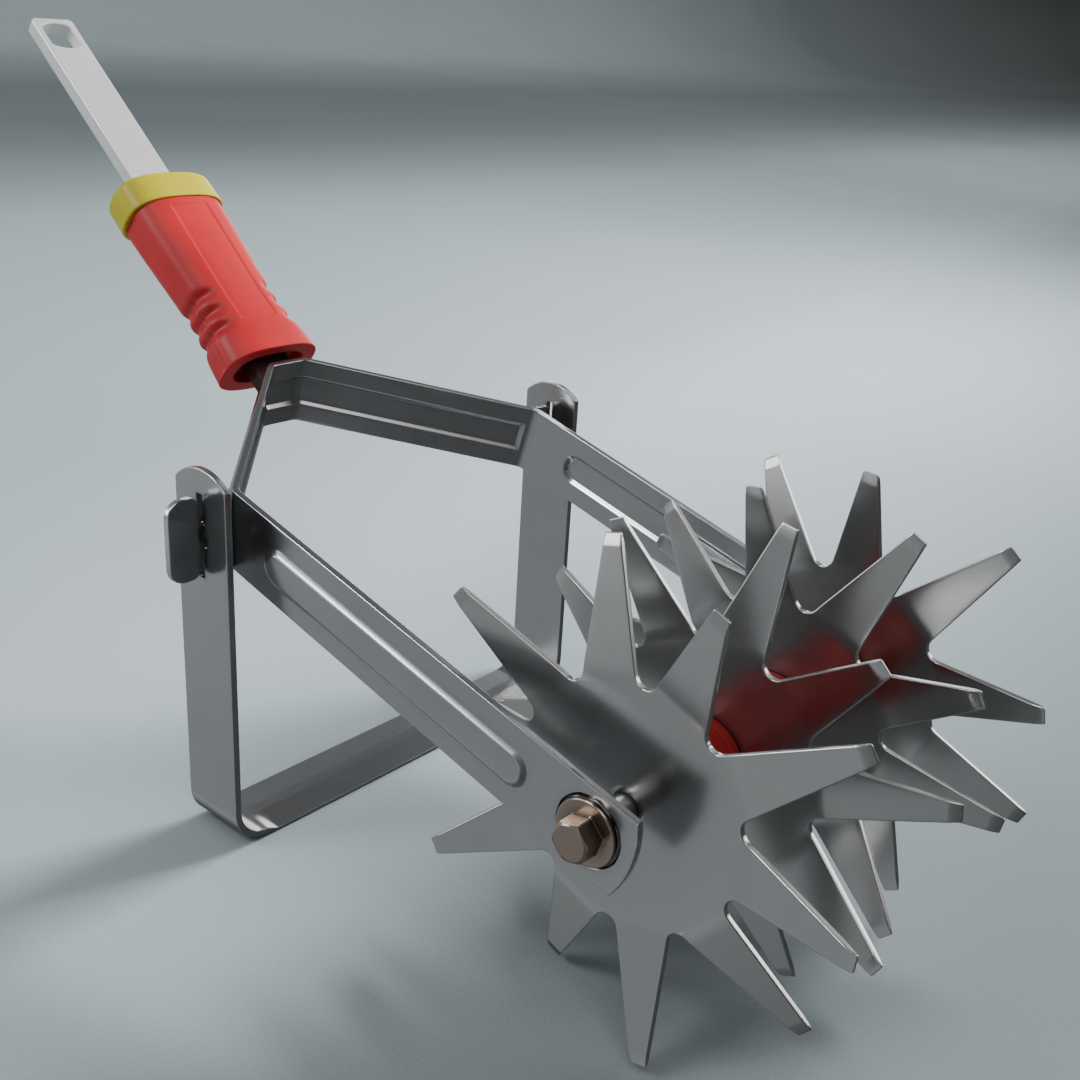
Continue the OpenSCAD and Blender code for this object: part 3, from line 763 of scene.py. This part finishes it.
# ---------------------------------------------------------------- swinging blade
def blade():
    xm = LEG_OUT - LEG_T / 2
    um = -BLADE_U + LEG_T / 2
    r = 13 - LEG_T / 2
    path = Bent([(-xm, DOME_U), (-xm, um), (xm, um), (xm, DOME_U)], [0, r, r, 0])
    L = path.length
    hh = LEG_W / 2
    f1 = math.degrees(math.asin(hh / DOME_R))
    fi = np.concatenate([[1.6], np.linspace(5, f1, 13)])
    end_u = DOME_R - DOME_R * np.cos(np.radians(fi))
    end_h = DOME_R * np.sin(np.radians(fi))
    bends = [s for s in path.seg if s[4] != 0]
    u = steps((end_u[-1], end_u[-1] + 1.2, 0.4), (end_u[-1] + 1.2, bends[0][0], 6), (bends[0][0], bends[0][1], 0.8),
              (bends[0][1], bends[0][1] + 9, 0.7), (bends[0][1] + 9, L / 2, 7))
    u = np.concatenate([end_u[:-1], u])
    hw = np.concatenate([end_h[:-1], np.full(len(u) - len(end_u) + 1, hh)])
    u = np.concatenate([u, (L - u)[::-1]])
    hw = np.concatenate([hw, hw[::-1]])
    keep = np.concatenate([[True], np.diff(u) > 0.02])
    u, hw = u[keep], hw[keep]
    vs = np.array([-12.0, -10, -6, -3.4, -2.45, -2.0, -0.5, 1.2, 2.05, 2.6, 5, 9, 12.0])
    cols = np.concatenate([[-1], vs / hh, [1]])
    a0, a1 = bends[0][1], bends[1][0]

    def tau(s, v):
        """thickness left by the ground edge, as a share of the sheet"""
        f = v + hh
        th = np.interp(f, [0, 10.3, 14.8, 30], [0.4, 2.22, 2.5, 2.5])
        run = smooth((np.minimum(s - a0, a1 - s) + 0.6) / 6.0)
        return 1 - (1 - th / LEG_T) * run

    def warp(s, v, w):
        # the blade side of the strap (inside of the U) is ground, the outside stays
        w2 = LEG_T / 2 - (LEG_T / 2 - w) * tau(s, v)
        x, z = path.at(s, w2)
        return leg_frame(x, LEG_Y + v, z)

    p = Part()
    rows_sheet(p, u, hw, cols, LEG_T, 0.42, warp)
    ob = p.make("vis_stirrup_blade", "stirrup", ["stirrup_blade"], [M_STEEL], wn=False)
    # eye and slot in each leg, round the tab
    cut = Part()
    for sg in (-1, 1):
        lo = math.degrees(math.acos(1.5 / 4.25))
        right_ = arc(0, 0, 4.25, -lo, lo, 13)
        left_ = arc(0, 0, 4.25, 180 - lo, 180 + lo, 13)
        lp = np.concatenate([right_, [[1.5, 13.9], [1.2, 14.2], [-1.2, 14.2], [-1.5, 13.9]], left_,
                             [[-1.5, -13.9], [-1.2, -14.2], [1.2, -14.2], [1.5, -13.9]]])
        m = len(lp)
        ks = []
        for x in (80.0, 90.0):
            ks.append(cut.add(leg_frame(np.full(m, sg * x), TAB_Y + lp[:, 0], PIVOT_U + lp[:, 1])))
        a = np.arange(ks[0], ks[0] + m)
        b = np.arange(ks[1], ks[1] + m)
        cut.grid(np.stack([np.append(a, a[0]), np.append(b, b[0])]))
        cut.faces([tuple(int(i) for i in a), tuple(int(i) for i in b)])
    carve(ob, cut)
    return ob


def apply_modifiers(ob):
    dg = bpy.context.evaluated_depsgraph_get()
    me = bpy.data.meshes.new_from_object(ob.evaluated_get(dg))
    ob.modifiers.clear()
    ob.data = me


# ---------------------------------------------------------------- pivot tabs
def tab(name, sg):
    nx = LEG_OUT + 0.9
    hx, th = nx + 11.6, 13.8
    half = np.concatenate([
        [[75.1, 13.3]], arc(80.0, 11.3, 2.0, 90, 0, 6)[:], [[82.0, 4.6]], arc(82.6, 4.6, 0.6, 180, 270, 4),
        [[nx - 0.5, 4.0]], arc(nx - 0.5, 4.5, 0.5, 270, 360, 4), [[nx, th - 3.5]],
        arc(nx + 3.5, th - 3.5, 3.5, 180, 90, 7), arc(hx - 5.5, th - 5.5, 5.5, 90, 0, 11)])
    keep = [0]
    for k in range(1, len(half)):
        if np.linalg.norm(half[k] - half[keep[-1]]) > 0.02:
            keep.append(k)
    half = half[keep]
    lp = np.concatenate([half * [1, -1], half[::-1]])

    def warp(x, v, w):
        return leg_frame(sg * x, TAB_Y + w, PIVOT_U + v)

    p = Part()
    plate(p, [lp], TAB_T, 0.55, warp)
    return p.make("vis_" + name, "frame", [name], [M_STEEL])


# ---------------------------------------------------------------- tongue
def tongue():
    w = TONGUE_W / 2
    e = TONGUE_S
    outer = np.concatenate([[[-w, 206.0], [w, 206.0]], arc(w - 2, e - 2, 2, 0, 90, 7), arc(-w + 2, e - 2, 2, 90, 180, 7)])
    c = e - 9.7
    R, k = 11.9, 4.9
    dy = math.sqrt(R * R - 6.6 * 6.6) - k
    a = math.degrees(math.asin(6.6 / R))
    hole = np.concatenate([arc(0, c - k, R, 90 - a, 90 + a, 13), arc(0, c + k, R, 270 - a, 270 + a, 13)])
    p = Part()
    plate(p, [outer, hole[::-1]], TONGUE_T, 0.55,
          lambda x, s, n: tongue_frame(x, s, TONGUE_N + n))
    return p.make("vis_tongue", "frame", ["tongue"], [M_TONGUE])


# ---------------------------------------------------------------- grip and collar
def ring_points(N, A, B, pw):
    """superellipse, evenly spaced along its rim: x, n"""
    t = np.linspace(0, 2 * math.pi, 1441)[:-1]
    x = A * np.sign(np.cos(t)) * np.abs(np.cos(t)) ** (2 / pw)
    y = B * np.sign(np.sin(t)) * np.abs(np.sin(t)) ** (2 / pw)
    d = np.concatenate([[0], np.cumsum(np.hypot(np.diff(x, append=x[0]), np.diff(y, append=y[0])))])
    q = np.linspace(0, d[-1], N + 1)[:-1]
    return np.interp(q, d, np.append(x, x[0])), np.interp(q, d, np.append(y, y[0]))


def rect_points(N, a, b, like_x, like_y):
    """points on a rectangle in the same directions as a ring, for its mouth"""
    x, y = like_x, like_y
    k = np.maximum(np.abs(x) / a, np.abs(y) / b)
    return x / k, y / k


def grip():
    N = 232
    S0, S1 = 215.0, 291.0
    prof_s = [215, 222, 228, 236, 245, 254, 267, 280, 291]
    prof_a = [21.5, 20.9, 20.2, 19.2, 18.65, 18.9, 19.6, 20.2, 20.5]
    prof_b = [13.2, 12.8, 12.4, 11.9, 11.65, 11.8, 12.2, 12.6, 12.9]
    ks = np.linspace(S0, S1, 400)
    A_ = np.interp(ks, prof_s, prof_a)
    B_ = np.interp(ks, prof_s, prof_b)
    ker = np.hanning(41)
    ker /= ker.sum()
    A_ = np.convolve(np.pad(A_, 20, mode="edge"), ker, "valid")
    B_ = np.convolve(np.pad(B_, 20, mode="edge"), ker, "valid")
    s_rows = steps((S0 + 1.4, 223, 0.7), (223, 252, 0.32), (252, 284, 1.1), (284, S1, 0.6))
    p = Part()
    rows = []

    def ring(s, A, B, detail=1.0, pw=2.75):
        x, n = ring_points(N, A, B, pw)
        # flat band with a parting line down each side
        lim = A - 0.42
        band = np.abs(x) > lim
        xb = np.clip(x, -lim, lim)
        x = x + (xb - x) * detail
        line = np.exp(-((n - 2.6) / 0.32) ** 2) * (np.abs(x) > 0.8 * A) * 0.32
        line += np.exp(-((n + 2.6) / 0.32) ** 2) * (np.abs(x) > 0.8 * A) * 0.20
        # finger grooves
        t = np.clip((np.abs(x) / A - 0.50) / 0.42, 0, 1)
        dep = 0.0
        for g in (231.2, 239.0, 246.8):
            q = s - g
            sh = np.exp(-(q / 1.9) ** 2) if q > 0 else np.exp(-(q / 2.7) ** 2)
            dep = dep + 1.75 * sh * smooth(t)
        # shallow panel on the front and on the back
        e = np.minimum(np.minimum(8.6 - np.abs(x), s - 230.0 + 0.55 * np.minimum(0, 6 - np.abs(x))), 288.0 - s)
        pan = 0.34 * smooth(e / 0.75) * (np.abs(n) > 0.7 * B)
        # inward normal of the ring
        nx = np.sign(x) * (np.abs(x) / A) ** (pw - 1) / A
        nn = np.sign(n) * (np.abs(n) / B) ** (pw - 1) / B
        m = np.hypot(nx, nn)
        nx, nn = nx / m, nn / m
        d = (dep + line + pan) * detail
        return x - nx * d, n - nn * d

    def put(s, x, n):
        k = p.add(tongue_frame(x, np.full(N, s), GRIP_N + n))
        rows.append(np.append(np.arange(k, k + N), k))

    base = ring_points(N, 21.5, 13.2, 2.75)
    # mouth round the tongue, then the end face, then the skin, then the top under the collar
    mx, mn = rect_points(N, 9.6, 3.4, *base)
    put(S0 + 5.0, mx, mn)
    rx, rn = ring_points(N, 15.6, 8.4, 2.6)
    put(S0 + 5.0, rx * 0.97, rn * 0.95)
    put(S0 + 4.7, rx * 0.99, rn * 0.99)
    put(S0 + 0.4, rx, rn)
    put(S0 + 0.1, rx * 1.01, rn * 1.02)
    put(S0 + 0.0, rx * 1.03, rn * 1.05)
    for f in (0.80, 0.90, 0.955):
        put(S0 + 0.0, base[0] * f, base[1] * f)
    for a in (20, 45, 70):
        q = 1 - 0.028 * (1 - math.sin(math.radians(a)))
        put(S0 + 0.5 * (1 - math.cos(math.radians(90 - a))) * 0 + 0.55 * (1 - math.cos(math.radians(a))), base[0] * q, base[1] * q)
    put(S0 + 0.9, *ring(S0 + 0.9, np.interp(S0 + 0.9, ks, A_), np.interp(S0 + 0.9, ks, B_), 0.6))
    for s in s_rows:
        put(s, *ring(s, np.interp(s, ks, A_), np.interp(s, ks, B_)))
    last = ring_points(N, 19.6, 12.0, 2.75)
    put(S1 + 0.02, *last)
    tx, tn = rect_points(N, 9.4, 3.15, *last)
    put(S1 + 0.02, tx, tn)
    put(S1 - 1.0, tx, tn)
    rows.append(rows[0])
    p.grid(np.stack(rows))
    return p.make("vis_grip_sleeve", "frame", ["grip_sleeve"], [M_RED], angle=50)


def collar():
    N = 200
    S0, S1 = 291.0, 304.5
    p = Part()
    rows = []

    def put(s, A, B, pw=2.75):
        x, n = ring_points(N, A, B, pw)
        k = p.add(tongue_frame(x, np.full(N, s) if np.isscalar(s) else s, GRIP_N + n))
        rows.append(np.append(np.arange(k, k + N), k))
        return x, n

    bx, bn = ring_points(N, 22, 13.6, 2.75)
    tx, tn = rect_points(N, 9.4, 3.15, bx, bn)
    k = p.add(tongue_frame(tx, np.full(N, S0 + 0.05), GRIP_N + tn))
    rows.append(np.append(np.arange(k, k + N), k))
    put(S0 + 0.05, 20.9, 12.6)
    put(S0 + 0.05, 21.55, 13.2)
    put(S0 + 0.12, 21.8, 13.42)
    put(S0 + 0.35, 21.97, 13.57)
    put(S0 + 0.7, 22.0, 13.6)
    for s in np.linspace(S0 + 2, S1 - 4.2, 5):
        f = (s - S0) / 13.5
        put(s, 22.0 - 0.25 * f, 13.6 - 0.2 * f)
    for a in range(0, 91, 10):
        q = math.radians(a)
        put(S1 - 2.6 + 2.6 * math.sin(q), 21.75 - 2.6 * (1 - math.cos(q)) * 0.9, 13.42 - 2.6 * (1 - math.cos(q)) * 0.9)
    x, n = put(S1, 18.2, 10.0)
    put(S1, 14.0, 6.6)
    ex, en = rect_points(N, 10.2, 3.9, bx, bn)
    k = p.add(tongue_frame(ex, np.full(N, S1), GRIP_N + en))
    rows.append(np.append(np.arange(k, k + N), k))
    ex, en = rect_points(N, 9.7, 3.4, bx, bn)
    k = p.add(tongue_frame(ex, np.full(N, S1 - 0.5), GRIP_N + en))
    rows.append(np.append(np.arange(k, k + N), k))
    k = p.add(tongue_frame(ex, np.full(N, S1 - 3.0), GRIP_N + en))
    rows.append(np.append(np.arange(k, k + N), k))
    rows.append(rows[0])
    p.grid(np.stack(rows))
    return p.make("vis_collar_ring", "frame", ["collar_ring"], [M_YELLOW], angle=50)


yoke()
for i in range(4):
    star(i)
hub("hub_1_inner", 0, 1, 2.0)
hub("hub_2_outer", 1, -1, 1.0)
hub("hub_2_inner", 1, 1, 1.0)
hub("hub_3_inner", 2, -1, 1.0)
hub("hub_3_outer", 2, 1, 1.0)
hub("hub_4_inner", 3, -1, 2.0)
axle()
blade()
tab("pivot_tab_right", -1)
tab("pivot_tab_left", 1)
tongue()
grip()
collar()

# ---------------------------------------------------------------- camera
R = np.array([[0.64654806, -0.71743594, 0.25934780],
              [-0.24467910, -0.51702007, -0.82025751],
              [0.72257023, 0.46687891, -0.50981991]])
C = np.array([[-308.641, -109.297, 232.105]])
tip = np.array([[1, 0, 0], [0, cb, -sb], [0, sb, cb]])
axes = np.stack([R[0], -R[1], -R[2]], 1)
axes = tip @ axes
loc = to_row(C)[0]
mw = Matrix.Identity(4)
for r in range(3):
    for c in range(3):
        mw[r][c] = axes[r, c]
    mw[r][3] = loc[r]
cam = bpy.data.cameras.new("camera")
cam.sensor_fit = "HORIZONTAL"
cam.sensor_width = 36.0
cam.lens = 1284.97 / 1080 * 36.0
cam.clip_start, cam.clip_end = 0.01, 50
co = bpy.data.objects.new("camera", cam)
co.matrix_world = mw
bpy.context.scene.collection.objects.link(co)
bpy.context.scene.camera = co

# ---------------------------------------------------------------- floor
fm = Mat("floor_paper")
fn = fm.noise(900, 3, 0.7)
fb = fm.noise(2.2, 2, 0.5)
fc = fm.ramp(fb, [(0.3, rgb(181, 195, 198)), (0.7, rgb(187, 200, 203))])
fc = fm.mix(fc, fm.grey(fn, 0.93, 1.07), 1.0, "MULTIPLY")
# painted light fall-off: the floor's colour darkens slightly to the front, strongly to the far corner
def across(axis, stops):
    d = fm.node("ShaderNodeVectorMath", _operation="DOT_PRODUCT")
    fm.link(fm.co.outputs["Object"], d.inputs[0])
    d.inputs[1].default_value = axis
    lo, hi = stops[0][0], stops[-1][0]
    g = fm.grey(d.outputs["Value"], 0.0, 1.0, lo, hi)
    return fm.ramp(g, [((x - lo) / (hi - lo), (v, v, v, 1)) for x, v in stops])


fc = fm.mix(fc, across((0.0, 1.0, 0.0), [(0.12, 0.96), (0.35, 0.77), (0.9, 0.81), (1.06, 0.78), (1.22, 0.64), (1.38, 0.54),
                                         (1.55, 0.46), (1.8, 0.42), (2.4, 0.45), (3.0, 0.72), (3.6, 1.0)]), 1.0, "MULTIPLY")
fc = fm.mix(fc, across((1.0, 0.0, 0.0), [(3.2, 1.0), (4.3, 0.92), (5.2, 0.78), (7.2, 0.38), (9.0, 0.24), (12.0, 0.10)]), 1.0, "MULTIPLY")
fc = fm.mix(fc, across((-0.2, 0.98, 0.0), [(-0.40, 0.32), (-0.23, 0.45), (-0.12, 0.66), (0.0, 0.85), (0.10, 1.0)]), 1.0, "MULTIPLY")
# painted shadow: the floor is darker close to the tool
fa = fm.node("ShaderNodeAmbientOcclusion", Distance=0.2)
fa.samples = 8
fc = fm.mix(fc, fm.grey(fa.outputs["AO"], 0.86, 1.0, 0.45, 0.97), 1.0, "MULTIPLY")
fm.link(fc, fm.b.inputs["Base Color"])
fm.b.inputs["Roughness"].default_value = 0.8
fm.b.inputs["Specular IOR Level"].default_value = 0.2
me = bpy.data.meshes.new("floor")
prof = [(-3.0, 0.0), (3.4, 0.0)] + [(3.4 + 0.8 * math.sin(math.radians(a)), 0.8 - 0.8 * math.cos(math.radians(a)))
                                    for a in range(5, 91, 5)] + [(4.2, 5.0)]
fv = [(x, y, z) for y, z in prof for x in (-5.0, 14.0)]
ff = [(2 * k, 2 * k + 1, 2 * k + 3, 2 * k + 2) for k in range(len(prof) - 1)]
me.from_pydata(fv, [], ff)
me.polygons.foreach_set("use_smooth", [True] * len(me.polygons))
me.materials.append(fm.m)
floor = bpy.data.objects.new("floor", me)
floor.visible_glossy = False
bpy.context.scene.collection.objects.link(floor)


# ---------------------------------------------------------------- light
def area(name, loc, target, size, power, color=(1, 1, 1), size_y=None):
    li = bpy.data.lights.new(name, "AREA")
    li.energy = power
    li.color = color
    li.shape = "RECTANGLE"
    li.size = size
    li.size_y = size_y or size
    o = bpy.data.objects.new(name, li)
    o.location = loc
    d = Vector(target) - Vector(loc)
    o.rotation_euler = d.to_track_quat("-Z", "Y").to_euler()
    bpy.context.scene.collection.objects.link(o)
    return o


area("key_left", (-1.05, 0.60, 1.22), (-0.05, 0.03, 0.05), 0.46, 8, (1.0, 1.0, 1.0), 0.40)
area("key_right", (1.06, -0.16, 0.98), (0.0, 0.05, 0.0), 0.5, 34, (0.97, 0.99, 1.0), 0.5).visible_glossy = False
area("far_right", (2.5, 0.60, 1.6), (2.5, 0.7, 0.0), 1.4, 13, (0.98, 1.0, 1.0), 1.2).visible_glossy = False

world = bpy.data.worlds.new("world")
bpy.context.scene.world = world
world.use_nodes = True
wt = world.node_tree
bg = wt.nodes["Background"]
tc = wt.nodes.new("ShaderNodeTexCoord")


def lobe(axis, stops, tint=(1.01, 1.0, 1.0)):
    """grey by the cosine between the view direction and an axis"""
    d = wt.nodes.new("ShaderNodeVectorMath")
    d.operation = "DOT_PRODUCT"
    wt.links.new(tc.outputs["Generated"], d.inputs[0])
    ax = Vector(axis).normalized()
    d.inputs[1].default_value = (ax.x, ax.y, ax.z)
    mr = wt.nodes.new("ShaderNodeMapRange")
    mr.inputs["From Min"].default_value = -1
    mr.inputs["From Max"].default_value = 1
    wt.links.new(d.outputs["Value"], mr.inputs["Value"])
    rp = wt.nodes.new("ShaderNodeValToRGB")
    wt.links.new(mr.outputs["Result"], rp.inputs["Fac"])
    el = rp.color_ramp.elements
    while len(el) < len(stops):
        el.new(0.5)
    for k, (y, g) in enumerate(stops):
        el[k].position = (y + 1) / 2
        el[k].color = (g * tint[0], g * tint[1], g * tint[2], 1)
    return rp.outputs["Color"]


def blend(mode, a, b):
    n = wt.nodes.new("ShaderNodeMix")
    n.data_type = "RGBA"
    n.blend_type = mode
    n.clamp_result = False
    n.inputs[0].default_value = 1.0
    wt.links.new(a, n.inputs[6])
    wt.links.new(b, n.inputs[7])
    return n.outputs[2]


room = blend("LIGHTEN",
             lobe((-0.75, 0.65, -0.10), [(-1.0, 0.07), (0.1, 0.09), (0.4, 0.16), (0.58, 0.25), (0.64, 0.31), (0.75, 0.38), (0.86, 0.30), (0.93, 0.31), (0.965, 0.27), (0.985, 0.34), (1.0, 0.34)],
                  (0.95, 1.01, 1.035)),
             lobe((-0.25, 0.97, 0), [(-1.0, 0.05), (-0.6, 0.06), (-0.2, 0.09), (0.30, 0.12), (0.45, 0.14), (0.60, 0.22), (0.75, 0.27), (0.87, 0.41), (1.0, 0.43)],
                  (0.95, 1.01, 1.035)))
# soft boxes as they show in the metal
for axis, lo, hi, g in (((0.80, -0.45, 0.38), 0.945, 0.975, 3.4), ((-0.63, 0.75, 0.24), 0.965, 0.985, 3.2),
                        ((0.83, 0.54, 0.14), 0.955, 0.98, 2.0), ((0.74, 0.05, 0.67), 0.945, 0.985, 0.62),
                        ((-0.31, -0.30, 0.87), 0.94, 0.975, 2.4)):
    room = blend("ADD", room, lobe(axis, [(-1.0, 0.0), (lo, 0.0), (hi, g), (1.0, g)]))
room = blend("MULTIPLY", room, lobe((0.28, 0.52, -0.80), [(-1.0, 1.0), (0.92, 1.0), (0.96, 0.4), (1.0, 0.4)]))
wt.links.new(room, bg.inputs["Color"])
bg.inputs["Strength"].default_value = 1.0

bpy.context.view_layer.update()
